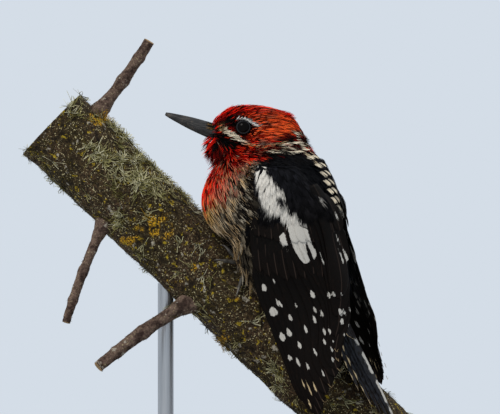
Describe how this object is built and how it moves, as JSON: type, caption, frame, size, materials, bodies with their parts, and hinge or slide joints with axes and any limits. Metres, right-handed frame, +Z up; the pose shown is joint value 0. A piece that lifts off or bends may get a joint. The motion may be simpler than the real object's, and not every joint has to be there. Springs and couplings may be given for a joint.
{
  "type": "red-breasted sapsucker (woodpecker), life-size still model clinging to a cut branch on a display stand",
  "caption": "Life-size woodpecker clinging to a cut length of branch, held by two rods on a flat display base.",
  "frame": {"origin": "middle of the underside of the display base", "axes": "+Z up; the bird faces -X, its left side is turned to -Y, and the branch falls towards +X"},
  "size_m": [0.2046, 0.116, 0.2488],
  "materials": {
    "plumage_red": "matte, fine red body feathers with darker shafts",
    "plumage_mottled": "matte, buff and cream body feathers with blackish centres",
    "plumage_black": "black flight feathers with white spots and a faint gloss",
    "bill_horn": "smooth dark horn, slightly glossy",
    "eye_glass": "glossy near-black brown eye",
    "foot_scale": "grey-olive scaled skin",
    "claw_horn": "dark grey-brown horn",
    "bark": "rough grey-brown bark with lichen",
    "base_wood": "dark stained wood, satin",
    "rod_steel": "brushed"
  },
  "bodies": {
    "root": {"head": "plumage_red", "neck": "plumage_red", "torso": "plumage_mottled", "bill_upper": "bill_horn", "bill_lower": "bill_horn", "eye_left": "eye_glass", "eye_right": "eye_glass", "wing_left": "plumage_black", "wing_right": "plumage_black", "tail": "plumage_black", "leg_left": "foot_scale", "leg_right": "foot_scale", "perch_branch": "bark", "stand_base": "base_wood", "stand_rod_1": "rod_steel", "stand_rod_2": "rod_steel", "claw_left_1": "claw_horn", "claw_left_2": "claw_horn", "claw_left_3": "claw_horn", "claw_left_4": "claw_horn", "claw_right_1": "claw_horn", "claw_right_2": "claw_horn", "claw_right_3": "claw_horn", "claw_right_4": "claw_horn"}
  },
  "joints": []
}
